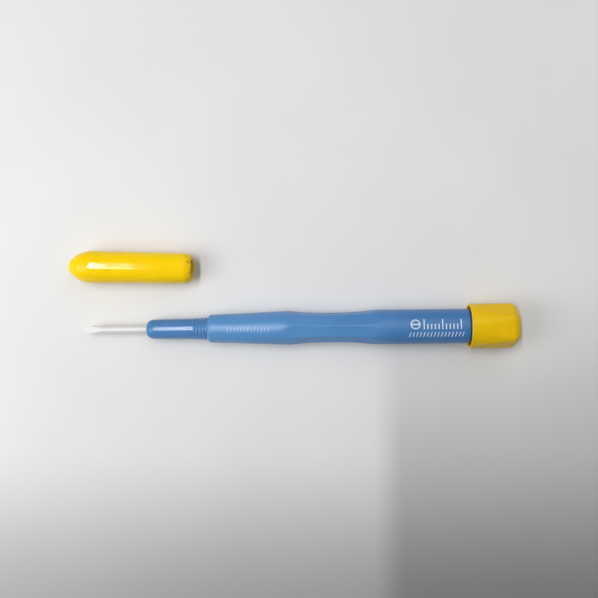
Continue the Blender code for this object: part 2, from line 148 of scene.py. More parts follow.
def turn(name, outline, sides=96):
    """Extrudes a circle from point to point of an outline, and leaves the piece upright."""
    rings = [point for point in outline if point[1] > 0]
    low, radius = rings[0]
    bpy.ops.object.select_all(action="DESELECT")
    bpy.ops.mesh.primitive_circle_add(vertices=sides, radius=radius)
    piece = bpy.context.object
    piece.name = name
    bpy.ops.object.mode_set(mode="EDIT")
    bpy.ops.mesh.select_all(action="SELECT")
    bpy.ops.transform.translate(value=(0, 0, low))
    for (height, radius), (next_height, next_radius) in zip(rings, rings[1:]):
        rise = (0, 0, next_height - height)
        bpy.ops.mesh.extrude_region_move(TRANSFORM_OT_translate={"value": rise})
        grow = next_radius / radius
        bpy.ops.transform.resize(value=(grow, grow, 1), center_override=(0, 0, next_height))
    if outline[-1][1] == 0:
        close_ring(outline[-1][0] - rings[-1][0])
    if outline[0][1] == 0:
        first = rings[0]
        pick(piece, lambda p: abs(p.z - first[0]) < WELD and abs(p.xy.length - first[1]) < WELD)
        close_ring(outline[0][0] - first[0])
    bpy.ops.mesh.select_all(action="SELECT")
    bpy.ops.mesh.remove_doubles(threshold=WELD)
    bpy.ops.mesh.normals_make_consistent(inside=False)
    bpy.ops.object.mode_set(mode="OBJECT")
    return piece


def smooth(piece, degrees=35):
    """Smooth shading, except over edges sharper than an angle."""
    bpy.ops.object.select_all(action="DESELECT")
    piece.select_set(True)
    bpy.context.view_layer.objects.active = piece
    bpy.ops.object.shade_smooth_by_angle(angle=math.radians(degrees))


def lay_down(piece, lie):
    """Moves the mesh, and not the object, from upright to its place."""
    piece.data.transform(lie)
    piece.data.update()


# %% [markdown]
# ## The ceramic blade
#
# The blade is a zirconia rod, 1.8 mm thick, that is ground with a diamond wheel to a 1.3 mm wide tip. The
# wheel leaves flat facets with crisp edges. A loft from a circle to a rectangle would round them off, so
# the rod is cut with four planes, as on the wheel, and each new edge gets a bevel of a few hundredths of
# a millimetre.

# %% Grind the blade
ROD_RADIUS = 0.9 * MM
TIP_WIDTH = 1.3 * MM
TIP_THICKNESS = 0.4 * MM
FACE_GRIND = 4.0 * MM
EDGE_GRIND = 2.5 * MM
EDGE_BREAK = 0.03 * MM


def grind(half_size, length, outward):
    """Cuts away what lies outside a plane that comes in to half_size at the tip."""
    slope = math.atan2(ROD_RADIUS - half_size, length)
    normal = outward * math.cos(slope) - Vector((0, 0, 1)) * math.sin(slope)
    bpy.ops.mesh.select_all(action="SELECT")
    bpy.ops.mesh.bisect(
        plane_co=outward * half_size, plane_no=normal, use_fill=True, clear_outer=True
    )


rod = [(0, 0), (0, ROD_RADIUS), (BLADE_ROOT, ROD_RADIUS), (BLADE_ROOT, 0)]
blade = turn("zirconia_blade", rod, sides=72)
bpy.ops.object.mode_set(mode="EDIT")
for side in (1, -1):
    grind(TIP_THICKNESS / 2, FACE_GRIND, Vector((0, side, 0)))
    grind(TIP_WIDTH / 2, EDGE_GRIND, Vector((side, 0, 0)))
bpy.ops.mesh.select_all(action="DESELECT")
bpy.ops.mesh.edges_select_sharp(sharpness=math.radians(12))
bpy.ops.mesh.bevel(offset=EDGE_BREAK, segments=3, profile=0.5)
bpy.ops.object.mode_set(mode="OBJECT")
smooth(blade, degrees=25)
lay_down(blade, tool_lie)
print("blade:", len(blade.data.polygons), "faces")

# %% [markdown]
# ## The blade holder
#
# The nose is a separate moulding in a darker and glossier blue. Its front is rounded over, and four fine
# rings near the handle grip the soft cover. Each ring is a bead a few tenths of a millimetre wide, so it
# is drawn into the outline and not laid on as a torus, which would leave a crease under it.

# %% Turn the blade holder
NOSE_FACE_RADIUS = 1.25 * MM
NOSE_FRONT_RADIUS = 2.34 * MM
NOSE_BACK_RADIUS = 2.46 * MM
NOSE_ROUND = 1.8 * MM
SPIGOT = 1.0 * MM
SPIGOT_RADIUS = 2.3 * MM
SHANK_RADIUS = 1.8 * MM
RING_COUNT = 4
RING_PITCH = 0.78 * MM
RING_WIDTH = 0.50 * MM
RING_HEIGHT = 0.12 * MM
RING_GROWTH = 0.04 * MM
RING_START = 11.35 * MM
RING_GAP = 0.06 * MM
BLADE_BORE = ROD_RADIUS + 0.04 * MM
MOUTH_BREAK = 0.1 * MM
SHANK_BREAK = 0.4 * MM
SEAT_GAP = 0.02 * MM


def bead(height, radius, width, proud, points=6):
    """Outline points over one round bead that stands proud of a cylinder."""
    steps = [step / points for step in range(points + 1)]
    return [(height + width * k, radius + proud * math.sin(math.pi * k)) for k in steps]


nose = [(BLADE_ROOT, 0), (BLADE_ROOT, BLADE_BORE), (NOSE_FRONT + MOUTH_BREAK, BLADE_BORE)]
nose.append((NOSE_FRONT, BLADE_BORE + MOUTH_BREAK))
for step in range(13):
    angle = math.radians(90 * step / 12)
    reach = NOSE_FRONT_RADIUS - NOSE_FACE_RADIUS
    height = NOSE_FRONT + NOSE_ROUND * (1 - math.cos(angle))
    nose.append((height, NOSE_FACE_RADIUS + reach * math.sin(angle)))
nose += run(nose[-1], (NOSE_FRONT + RING_START - RING_GAP, NOSE_BACK_RADIUS), 30)
for ring in range(RING_COUNT):
    start = NOSE_FRONT + RING_START + ring * RING_PITCH
    nose += bead(start, NOSE_BACK_RADIUS + ring * RING_GROWTH, RING_WIDTH, RING_HEIGHT)
spigot_end = HANDLE_FRONT + SPIGOT
shoulder = HANDLE_FRONT - SEAT_GAP
nose += [(shoulder, NOSE_BACK_RADIUS + RING_COUNT * RING_GROWTH), (shoulder, SPIGOT_RADIUS)]
nose += [(spigot_end, SPIGOT_RADIUS), (spigot_end, SHANK_RADIUS)]
nose += [(SHANK_END - SHANK_BREAK, SHANK_RADIUS), (SHANK_END, SHANK_RADIUS - SHANK_BREAK)]
nose.append((SHANK_END, 0))
holder = turn("nose_and_shank", nose, sides=128)
smooth(holder, degrees=40)
lay_down(holder, tool_lie)
print("holder:", len(nose), "outline points,", len(holder.data.polygons), "faces")

# %% [markdown]
# ## The handle
#
# The handle swells from the nose to a shoulder, and eight hollow flats run round its waist, so that it
# doesn't roll between the fingers. Its rear end steps down to a neck inside the cap. Boolean cutters would
# leave slivers along the ridges of the flats. Instead the turned handle gets closely spaced rings at the
# waist, and every point that stands outside a flat is pressed in to it. A soft minimum of two distances
# rounds the ridge, as a mould's polish does.

# %% Helpers for flats
def soft_min(a, b, blend):
    """The smaller of two numbers, with the change from one to the other rounded off."""
    overlap = max(blend - abs(a - b), 0) / blend
    return min(a, b) - overlap * overlap * blend / 4


def press_flats(piece, count, turned, depth_at, ridge, shoulder):
    """Presses flats into a turned piece. depth_at gives a flat's distance from the axis at a height."""
    sector = math.tau / count
    for point in piece.data.vertices:
        reach = point.co.xy.length
        limit = depth_at(point.co.z)
        if limit is None or reach < WELD:
            continue
        around = math.atan2(point.co.x, point.co.y) - turned
        off_middle = abs((around + sector / 2) % sector - sector / 2)
        flat = limit / math.cos(off_middle)
        neighbour = limit / math.cos(sector - off_middle)
        pressed = soft_min(reach, soft_min(flat, neighbour, ridge), shoulder)
        point.co.xy *= pressed / reach
    piece.data.update()


# %% Turn the handle and press its waist
FRONT_RADIUS = 3.34 * MM
FRONT_ROUND = 0.8 * MM
NECK = (5.5 * MM, 3.46 * MM)
SHOULDER = (19.3 * MM, 4.05 * MM)
REAR_RADIUS = 4.1 * MM
REAR_NECK = 0.5 * MM
NECK_BEFORE_CAP = 0.25 * MM
NECK_INSIDE_CAP = 0.15 * MM
REAR_STRAIGHT = 40.0 * MM
FRONT_BORE = 15.5 * MM
SHANK_BORE_RADIUS = SHANK_RADIUS + 0.1 * MM
SPIGOT_BORE = 1.1 * MM
SPIGOT_BORE_RADIUS = SPIGOT_RADIUS + 0.05 * MM
PIN_BORE = 11.0 * MM
PIN_BORE_RADIUS = 1.54 * MM
FLATS = 8
WAIST_MIDDLE = HANDLE_FRONT + 29.35 * MM
WAIST_HALF = 11.5 * MM
WAIST_DEPTH = 0.78 * MM
WAIST_POWER = 2.6
WAIST_REACH = 1.25
WAIST_RIDGE = 0.10 * MM
WAIST_SHOULDER = 0.16 * MM
HANDLE_ROLL = math.radians(8.6)


def waist(height):
    """How far a finger flat lies from the axis, or None beyond the ends of the waist."""
    along = abs(height - WAIST_MIDDLE) / WAIST_HALF
    if along > WAIST_REACH:
        return None
    middle_radius = (SHOULDER[1] + REAR_RADIUS) / 2
    return middle_radius - WAIST_DEPTH * (1 - along**WAIST_POWER)


front, rear = HANDLE_FRONT, HANDLE_REAR
grip = [(front + FRONT_BORE, 0), (front + FRONT_BORE, SHANK_BORE_RADIUS)]
grip += [(front + SPIGOT_BORE, SHANK_BORE_RADIUS), (front + SPIGOT_BORE, SPIGOT_BORE_RADIUS)]
grip.append((front, SPIGOT_BORE_RADIUS))
grip += arc(front + FRONT_ROUND, FRONT_RADIUS - FRONT_ROUND, FRONT_ROUND, -90, -3, points=10)
grip += run(grip[-1], (front + NECK[0], NECK[1]), 6)
grip += run(grip[-1], (front + SHOULDER[0], SHOULDER[1]), 24)
grip += run(grip[-1], (front + REAR_STRAIGHT, REAR_RADIUS), 72)
grip += run(grip[-1], (CAP_MOUTH - NECK_BEFORE_CAP, REAR_RADIUS), 24)
grip += [(CAP_MOUTH + NECK_INSIDE_CAP, REAR_RADIUS - REAR_NECK), (rear, REAR_RADIUS - REAR_NECK)]
grip.append((rear, PIN_BORE_RADIUS))
grip += [(rear - PIN_BORE, PIN_BORE_RADIUS), (rear - PIN_BORE, 0)]
handle = turn("grip", grip, sides=192)
flat_turn = HANDLE_ROLL + math.pi / FLATS
press_flats(handle, FLATS, flat_turn, waist, ridge=WAIST_RIDGE, shoulder=WAIST_SHOULDER)
smooth(handle, degrees=40)
lay_down(handle, tool_lie)
print("handle:", len(handle.data.polygons), "faces")

# %% [markdown]
# ## The swivel cap
#
# The cap is a cup that turns on a steel pin. Its mouth is round, with a thin lip, and six flats deepen from
# there to the rear, where each runs over the blunted end as a flat band. The same pressing works here. The
# flat's distance from the axis falls slowly along the cap, and at the end both it and the round body come
# in along the same curve, which is between a chamfer and a quarter circle.

# %% Turn the swivel cap and press its flats
LIP_RADIUS = 5.31 * MM
LIP_WIDTH = 0.5 * MM
LIP_ROUND = 0.28 * MM
CAP_NECK_RADIUS = 5.24 * MM
CAP_RADIUS = 5.38 * MM
CAP_END_LENGTH = 1.8 * MM
CAP_END_INSET = 1.6 * MM
CAP_END_POWER = 1.7
MOUTH_RADIUS = 4.65 * MM
RECESS = 2.8 * MM
HUB = 5.0 * MM
JOURNAL_RADIUS = 1.28 * MM
PLUG_BORE = 2.5 * MM
CAP_FLATS = 6
CAP_FLAT = 4.82 * MM
CAP_RIDGE = 1.0 * MM
CAP_SHOULDER = 0.14 * MM
CAP_ROLL = math.radians(-7.0)
FLATS_BEHIND_LIP = 0.25 * MM
PLUG_BORE_BREAK = 0.1 * MM
end_start = CAP_END - CAP_END_LENGTH
flat_start = CAP_MOUTH + LIP_WIDTH + FLATS_BEHIND_LIP


def cap_inset(height):
    """How far the cap's surface has come in towards the axis at its blunted end."""
    past = min(max(height - end_start, 0) / CAP_END_LENGTH, 1)
    left = (1 - past**CAP_END_POWER) ** (1 / CAP_END_POWER)
    return CAP_END_INSET * (1 - left)


def cap_flat(height):
    """How far a flat of the cap lies from the axis."""
    if height < flat_start:
        return None
    along = min((height - flat_start) / (end_start - flat_start), 1.1)
    return CAP_NECK_RADIUS + (CAP_FLAT - CAP_NECK_RADIUS) * along - cap_inset(height)


hub_front = CAP_MOUTH + RECESS
cup = [(CAP_MOUTH + LIP_ROUND, MOUTH_RADIUS)]
cup += arc(CAP_MOUTH + LIP_ROUND, MOUTH_RADIUS + LIP_ROUND, LIP_ROUND, -180, -90, points=4)[1:]
cup += arc(CAP_MOUTH + LIP_ROUND, LIP_RADIUS - LIP_ROUND, LIP_ROUND, -90, 0, points=5)
lip_back = CAP_MOUTH + LIP_WIDTH - LIP_ROUND / 2
cup += arc(lip_back, LIP_RADIUS - LIP_ROUND / 2, LIP_ROUND / 2, 0, 70, points=4)
cup.append((flat_start, CAP_NECK_RADIUS))
cup += run(cup[-1], (end_start, CAP_RADIUS), 40)
for step in range(1, 31):
    height = end_start + CAP_END_LENGTH * step / 30
    cup.append((height, CAP_RADIUS - cap_inset(height)))
cup += [(CAP_END, PLUG_BORE + PLUG_BORE_BREAK), (CAP_END - PLUG_BORE_BREAK, PLUG_BORE)]
cup += [(hub_front + HUB, PLUG_BORE), (hub_front + HUB, JOURNAL_RADIUS)]
cup += [(hub_front, JOURNAL_RADIUS), (hub_front, MOUTH_RADIUS), cup[0]]
cap = turn("finger_cap", cup, sides=192)
press_flats(cap, CAP_FLATS, CAP_ROLL, cap_flat, ridge=CAP_RIDGE, shoulder=CAP_SHOULDER)
smooth(cap, degrees=40)
lay_down(cap, tool_lie)
print("cap:", len(cap.data.polygons), "faces")

# %% [markdown]
# ## The plug in the cap's end
#
# A small disc closes the cap over the head of the pin. It is pressed in just below flush, with a chamfered
# rim and a shallow dimple where the mould's gate was.

# %% Turn the plug
PLUG_RADIUS = PLUG_BORE - 0.05 * MM
PLUG_RIM = 0.2 * MM
DIMPLE = 0.7 * MM
DIMPLE_WALL = 0.12 * MM
DIMPLE_DEPTH = 0.15 * MM
disc = [(PLUG_FRONT, 0), (PLUG_FRONT, PLUG_RADIUS), (PLUG_END - PLUG_RIM, PLUG_RADIUS)]
disc += arc(PLUG_END - PLUG_RIM, PLUG_RADIUS - PLUG_RIM, PLUG_RIM, 0, 90, points=4)[1:]
disc += [(PLUG_END, DIMPLE), (PLUG_END - DIMPLE_WALL, DIMPLE * 0.7), (PLUG_END - DIMPLE_DEPTH, 0)]
plug = turn("end_plug", disc, sides=96)
smooth(plug, degrees=40)
lay_down(plug, tool_lie)
print("plug:", len(plug.data.polygons), "faces")

# %% [markdown]
# ## The blade cover
#
# The cover is soft vinyl, made by dipping a hot pin into liquid plastic. The liquid runs to the end before
# it sets, so the closed end is a blunt cone with a slight swelling behind it, and nothing about it is
# perfectly round. The tube gets a little thinner behind it, and the open end is trimmed by hand and left
# slightly ragged. The outline gives the main shape, and smooth noise moves the points by a tenth of a
# millimetre or so. It depends only on the points' own places, so the shape is the same each time.

# %% Turn the cover
COVER_RADIUS = 3.84 * MM
COVER_MOUTH_RADIUS = 3.66 * MM
END_LENGTH = 6.0 * MM
END_POWER = 0.53
PINCH = 0.12
PINCH_LENGTH = 1.5 * MM
THINNING = ((17.5 * MM, 0.096 * MM, 22), (22.5 * MM, 0.115 * MM, 10))
COVER_BORE = 2.5 * MM
END_WALL = 1.35 * MM
LIP_OUTSIDE = 2.6 * MM
LIP_DROP = 0.95 * MM
LIP_INSIDE = 0.25 * MM


def cover_end(height):
    """The radius of the closed end, from its blunt point to the tube."""
    left = 1 - min(height / END_LENGTH, 1)
    pinch = 1 - PINCH * math.exp(-((height / PINCH_LENGTH) ** 2))
    return COVER_RADIUS * pinch * (1 - left * left) ** END_POWER


def quarter(start, end, points, ends_flat):
    """Outline points along a quarter of an ellipse, which is parallel to the axis at one of its ends."""
    made = []
    for step in range(1, points + 1):
        angle = math.pi / 2 * step / points
        if ends_flat:
            k, m = 1 - math.cos(angle), math.sin(angle)
        else:
            k, m = math.sin(angle), 1 - math.cos(angle)
        made.append((start[0] + (end[0] - start[0]) * k, start[1] + (end[1] - start[1]) * m))
    return made


shell = [(0, 0)]
for step in range(1, 29):
    height = END_LENGTH * (step / 28) ** 1.9
    shell.append((height, cover_end(height)))
for height, thinner, rings in THINNING:
    shell += run(shell[-1], (height, COVER_RADIUS - thinner), rings)
shell += run(shell[-1], (COVER_MOUTH - LIP_OUTSIDE, COVER_MOUTH_RADIUS), 20)
rim = (COVER_MOUTH, COVER_MOUTH_RADIUS - LIP_DROP)
shell += quarter(shell[-1], rim, 16, ends_flat=False)
shell += quarter(rim, (COVER_MOUTH - LIP_INSIDE, COVER_BORE), 6, ends_flat=True)
shell += run(shell[-1], (COVER_MOUTH - 2 * MM, COVER_BORE), 4)
shell += run(shell[-1], (END_WALL + COVER_BORE, COVER_BORE), 20)
shell += arc(END_WALL + COVER_BORE, 0, COVER_BORE, 0, -84, points=10)[1:]
shell.append((END_WALL, 0))
cover = turn("vinyl_cover", shell, sides=160)
print("cover:", len(shell), "outline points,", len(cover.data.polygons), "faces")

# %% Make the cover uneven
SAG = 0.05 * MM
SAG_LENGTH = 9 * MM
SWELLING = 0.14 * MM
SWELLING_HEIGHT = 6.2 * MM
SWELLING_LENGTH = 1.7 * MM
FULLER_TOP = 1.2
LIP_REACH = 1.6 * MM
RAGGED = 0.07 * MM
TRIM = 0.20 * MM
UNEVEN_FROM = 1.5 * MM

for point in cover.data.vertices:
    place = point.co.copy()
    reach = place.xy.length
    if reach < COVER_BORE * 0.6 and place.z > END_WALL * 0.9:
        continue
    outward = Vector((place.x, place.y, 0)) / max(reach, WELD)
    sag = noise.noise(Vector((outward.x, outward.y, place.z / SAG_LENGTH))) * SAG
    near_swelling = math.exp(-(((place.z - SWELLING_HEIGHT) / SWELLING_LENGTH) ** 2))
    swelling = SWELLING * max(outward.x, 0) * near_swelling
    fuller = (cover_end(place.z * FULLER_TOP) - cover_end(place.z)) * max(outward.y, 0) ** 2
    near_mouth = max(0.0, 1 - (COVER_MOUTH - place.z) / LIP_REACH)
    ragged = noise.noise(place * 1900 + Vector((7, 3, 1))) * RAGGED * near_mouth
    if reach > COVER_BORE * 1.05 or place.z < END_WALL:
        point.co += outward * (sag + swelling + fuller + ragged) * min(reach / UNEVEN_FROM, 1)
    trimmed = (noise.noise(outward * 3.1 + Vector((0, 0, 5))) - 0.5) * TRIM
    point.co.z += trimmed * near_mouth
cover.data.update()
smooth(cover, degrees=60)
lay_down(cover, cover_lie)
print("cover reaches", [round(side / MM, 2) for side in cover.dimensions])

# %% [markdown]
# ## The white marks
#
# The handle carries marks in white pad printing. A real one names its size and maker, and these are plain
# signs instead: a slotted screw head, a scale of ticks, and rows of slanted strokes. A picture could carry
# them, but thin solid ink stays crisp close up. Each mark is drawn flat above the handle, subdivided,
# and pressed down onto it by a Shrinkwrap, and a Solidify gives it a film's thickness.

# %% Helpers for printed marks
INK = 0.02 * MM
INK_LIFT = 0.006 * MM
PRESS_HEIGHT = 16 * MM


def stroke(station, across, length, width, slant=0.0):
    """One flat bar above the handle, running across the tool, with its top leaned along by slant."""
    bpy.ops.object.select_all(action="DESELECT")
    bpy.ops.mesh.primitive_plane_add(size=1)
    bar = bpy.context.object
    bpy.ops.object.mode_set(mode="EDIT")
    bpy.ops.mesh.select_all(action="SELECT")
    bpy.ops.transform.resize(value=(width, length, 1), center_override=(0, 0, 0))
    bpy.ops.mesh.subdivide(number_cuts=max(2, round(max(length, width) / (0.15 * MM))))
    bpy.ops.object.mode_set(mode="OBJECT")
    for point in bar.data.vertices:
        point.co.x += slant * point.co.y / length
        point.co += Vector((station, across, 0))
    return bar


def hoop(station, across, radius, width):
    """One flat ring above the handle."""
    bpy.ops.object.select_all(action="DESELECT")
    bpy.ops.mesh.primitive_circle_add(vertices=64, radius=radius)
    ring = bpy.context.object
    bpy.ops.object.mode_set(mode="EDIT")
    bpy.ops.mesh.select_all(action="SELECT")
    inner = (radius - width) / radius
    bpy.ops.mesh.extrude_region_move()
    bpy.ops.transform.resize(value=(inner, inner, 1), center_override=(0, 0, 0))
    bpy.ops.mesh.select_all(action="SELECT")
    bpy.ops.transform.translate(value=(station, across, 0))
    bpy.ops.object.mode_set(mode="OBJECT")
    return ring


def print_on_handle(name, marks):
    """Joins flat marks, presses them onto the handle from above and gives them a film's thickness."""
    bpy.ops.object.select_all(action="DESELECT")
    for mark in marks:
        mark.select_set(True)
    bpy.context.view_layer.objects.active = marks[0]
    bpy.ops.object.join()
    printed = bpy.context.object
    printed.name = name
    start = tool_lie.translation
    printed.data.transform(Matrix.Translation((start.x, start.y, PRESS_HEIGHT)))
    press = printed.modifiers.new("press", "SHRINKWRAP")
    press.target = handle
    press.wrap_method = "PROJECT"
    press.use_project_z = True
    press.use_negative_direction = True
    press.use_positive_direction = False
    press.offset = INK_LIFT
    bpy.ops.object.modifier_apply(modifier="press")
    film = printed.modifiers.new("film", "SOLIDIFY")
    film.thickness = INK
    film.offset = 1
    bpy.ops.object.modifier_apply(modifier="film")
    smooth(printed, degrees=50)
    return printed


# %% Print the marks
SIGN_STATION = 78.6 * MM
SIGN_RADIUS = 1.15 * MM
SIGN_ACROSS = 0.63 * MM
ROW_ACROSS = -1.73 * MM
STROKE = 0.28 * MM
TICK = 2.3 * MM
SHORT_TICK = TICK * 0.55
TICKS_START = SIGN_STATION + 2.0 * MM
TICK_PITCH = 0.86 * MM
ROW_START = SIGN_STATION - 1.2 * MM
ROW_PITCH = 0.82 * MM
FRONT_START = 34.6 * MM
FRONT_ACROSS = -0.19 * MM
FRONT_PITCH = 0.8 * MM

front_marks = []
for count in range(13):
    station = FRONT_START + count * FRONT_PITCH
    front_marks.append(stroke(station, FRONT_ACROSS, 1.2 * MM, 0.2 * MM, slant=0.35 * MM))
front_print = print_on_handle("printed_front_strokes", front_marks)

rear_marks = [hoop(SIGN_STATION, SIGN_ACROSS, SIGN_RADIUS, STROKE)]
rear_marks.append(stroke(SIGN_STATION, SIGN_ACROSS, 0.3 * MM, 1.5 * SIGN_RADIUS))
for count in range(11):
    station = TICKS_START + count * TICK_PITCH
    long_tick = count % 5 == 0
    length = TICK if long_tick else SHORT_TICK
    across = SIGN_ACROSS - (TICK - length) / 2
    rear_marks.append(stroke(station, across, length, STROKE))
for count in range(16):
    station = ROW_START + count * ROW_PITCH
    rear_marks.append(stroke(station, ROW_ACROSS, 1.1 * MM, 0.22 * MM, slant=0.3 * MM))
rear_print = print_on_handle("printed_rear_signs", rear_marks)
print("marks:", len(front_marks) + len(rear_marks))

# %% [markdown]
# ## Finishes
#
# Nothing moulded has one even colour. Each finish below is a Principled shader whose colour and roughness
# drift a little with slow noise, and whose surface has a bump at the scale of the real texture: sparks
# from the mould on the handle, ripples on the dipped cover, wheel marks on the ground ceramic. The noise
# reads Object coordinates, which are metres here, so its scale is one over the size of a feature.

# %% Helpers for finishes
def new_finish(name, metallic=0.0, **shader_values):
    """A Principled material, with the values that are the same all over set on the shader's own sockets."""
    finish = bpy.data.materials.new(name)
    finish.use_nodes = True
    shader = finish.node_tree.nodes["Principled BSDF"]
    shader.inputs["Metallic"].default_value = metallic
    for socket, value in shader_values.items():
        shader.inputs[socket.replace("_", " ")].default_value = value
    return finish


def cloud(finish, feature, stretch=(1, 1, 1), detail=3.0):
    """Noise whose features have a size in metres, and may be stretched along an axis."""
    tree = finish.node_tree
    places = tree.nodes.new("ShaderNodeTexCoord")
    mapping = tree.nodes.new("ShaderNodeMapping")
    mapping.inputs["Scale"].default_value = [1 / side for side in stretch]
    texture = tree.nodes.new("ShaderNodeTexNoise")
    texture.inputs["Scale"].default_value = 1 / feature
    texture.inputs["Detail"].default_value = detail
    tree.links.new(places.outputs["Object"], mapping.inputs["Vector"])
    tree.links.new(mapping.outputs["Vector"], texture.inputs["Vector"])
    return texture.outputs["Fac"]


def colour_drift(finish, pattern, dark, light, low=0.3, high=0.7):
    """Base colour between two near shades."""
    tree = finish.node_tree
    ramp = tree.nodes.new("ShaderNodeValToRGB")
    ramp.color_ramp.elements[0].position = low
    ramp.color_ramp.elements[0].color = (*dark, 1)
    ramp.color_ramp.elements[1].position = high
    ramp.color_ramp.elements[1].color = (*light, 1)
    tree.links.new(pattern, ramp.inputs["Fac"])
    tree.links.new(ramp.outputs["Color"], tree.nodes["Principled BSDF"].inputs["Base Color"])


def ramp_along(finish, axis, start, end):
    """A value that changes smoothly from 0 to 1 between two places on an object axis."""
    tree = finish.node_tree
    places = tree.nodes.new("ShaderNodeTexCoord")
    split = tree.nodes.new("ShaderNodeSeparateXYZ")
    share = tree.nodes.new("ShaderNodeMapRange")
    share.interpolation_type = "SMOOTHSTEP"
    share.inputs["From Min"].default_value = start
    share.inputs["From Max"].default_value = end
    tree.links.new(places.outputs["Object"], split.inputs["Vector"])
    tree.links.new(split.outputs[axis], share.inputs["Value"])
    return share.outputs["Result"]


def deepen(finish, share, tint):
    """Multiplies the base colour by a tint, by a share between 0 and 1."""
    tree = finish.node_tree
    mix = tree.nodes.new("ShaderNodeMixRGB")
    mix.blend_type = "MULTIPLY"
    mix.inputs["Color2"].default_value = (*tint, 1)
    colour = tree.nodes["Principled BSDF"].inputs["Base Color"]
    tree.links.new(colour.links[0].from_socket, mix.inputs["Color1"])
    tree.links.new(share, mix.inputs["Fac"])
    tree.links.new(mix.outputs["Color"], colour)


def speckle(finish, pattern, amount, colour):
    """Mixes another colour in where a pattern is high, by at most an amount."""
    tree = finish.node_tree
    spots = tree.nodes.new("ShaderNodeMapRange")
    spots.inputs["From Min"].default_value = 0.50
    spots.inputs["From Max"].default_value = 0.62
    tree.links.new(pattern, spots.inputs["Value"])
    tree.links.new(amount, spots.inputs["To Max"])
    mix = tree.nodes.new("ShaderNodeMixRGB")
    mix.inputs["Color2"].default_value = (*colour, 1)
    base = tree.nodes["Principled BSDF"].inputs["Base Color"]
    tree.links.new(spots.outputs["Result"], mix.inputs["Fac"])
    tree.links.new(base.links[0].from_socket, mix.inputs["Color1"])
    tree.links.new(mix.outputs["Color"], base)


def roughness_drift(finish, pattern, low, high):
    """Roughness between two values."""
    tree = finish.node_tree
    scaled = tree.nodes.new("ShaderNodeMapRange")
    scaled.inputs["From Min"].default_value = 0.3
    scaled.inputs["From Max"].default_value = 0.7
    scaled.inputs["To Min"].default_value = low
    scaled.inputs["To Max"].default_value = high
    tree.links.new(pattern, scaled.inputs["Value"])
    tree.links.new(scaled.outputs["Result"], tree.nodes["Principled BSDF"].inputs["Roughness"])


def surface_bump(finish, pattern, height, strength=1.0):
    """Bump of a height in metres. A second call lies on top of the first."""
    tree = finish.node_tree
    shader = tree.nodes["Principled BSDF"]
    bump = tree.nodes.new("ShaderNodeBump")
    bump.inputs["Distance"].default_value = height
    bump.inputs["Strength"].default_value = strength
    tree.links.new(pattern, bump.inputs["Height"])
    if shader.inputs["Normal"].is_linked:
        tree.links.new(shader.inputs["Normal"].links[0].from_socket, bump.inputs["Normal"])
    tree.links.new(bump.outputs["Normal"], shader.inputs["Normal"])
    return bump


def wear(piece, finish, rides_on, takes_from, *stands_for):
    """Gives a piece its finish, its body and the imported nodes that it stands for."""
    piece.data.materials.clear()
    piece.data.materials.append(finish)
    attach(piece, rides_on)
    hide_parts(*stands_for)


# %% [markdown]
# ### Zirconia
#
# Ground zirconia is a dense, slightly translucent white with the sheen of a tooth. A little subsurface
# light softens it, and fine scratches run across the blade, as the wheel left them.

# %% Zirconia finish
zirconia = new_finish("white_zirconia", Subsurface_Weight=0.25, Subsurface_Scale=0.0006, IOR=1.6)
slow = cloud(zirconia, 2.5 * MM)
colour_drift(zirconia, slow, (0.66, 0.66, 0.67), (0.72, 0.72, 0.73))
roughness_drift(zirconia, slow, 0.28, 0.40)
wheel_marks = cloud(zirconia, 0.05 * MM, stretch=(1, 14, 14), detail=2.0)
surface_bump(zirconia, wheel_marks, 0.0015 * MM, strength=0.6)
wear(blade, zirconia, "tool", "zirconia", "ceramic_blade")
print("blade finished")

# %% [markdown]
# ### The nose's glossy blue
#
# The nose comes from a polished mould. It keeps faint flow lines along its length, and fine rub marks.

# %% Nose finish
nose_blue = new_finish("glossy_nose_blue", Specular_IOR_Level=0.38)
slow = cloud(nose_blue, 3.0 * MM, stretch=(3, 1, 1))
colour_drift(nose_blue, slow, (0.068, 0.200, 0.440), (0.084, 0.240, 0.500))
roughness_drift(nose_blue, slow, 0.17, 0.22)
surface_bump(nose_blue, cloud(nose_blue, 1.2 * MM, stretch=(4, 1, 1)), 0.002 * MM, strength=0.5)
surface_bump(nose_blue, cloud(nose_blue, 0.05 * MM), 0.0003 * MM, strength=0.5)
wear(holder, nose_blue, "tool", "nose_blue", "blade_holder")
print("nose finished")

# %% [markdown]
# ### The handle's satin blue
#
# The handle's mould was spark eroded, which gives an even, very fine grain. Fingers polish it in patches,
# and painted shade makes its blue a little darker towards the cap.

# %% Handle finish
handle_blue = new_finish("satin_handle_blue", Specular_IOR_Level=0.5)
slow = cloud(handle_blue, 6.0 * MM, stretch=(2, 1, 1))
colour_drift(handle_blue, slow, (0.088, 0.262, 0.545), (0.100, 0.290, 0.590))
roughness_drift(handle_blue, cloud(handle_blue, 2.2 * MM), 0.32, 0.38)
surface_bump(handle_blue, cloud(handle_blue, 0.12 * MM, detail=2.0), 0.003 * MM, strength=0.5)
surface_bump(handle_blue, cloud(handle_blue, 2.5 * MM), 0.004 * MM, strength=0.4)
# Painted shade: the base colour darkens towards the cap, where less light falls.
painted_shade_towards_cap = ramp_along(handle_blue, "X", start=-0.01, end=0.04)
deepen(handle_blue, painted_shade_towards_cap, (0.57, 0.68, 0.80))
wear(handle, handle_blue, "tool", "handle_blue", "handle")
print("handle finished")

# %% [markdown]
# ### The cap's yellow
#
# The cap is a harder, semi-gloss plastic in a deep yellow, with a fine orange-peel surface.

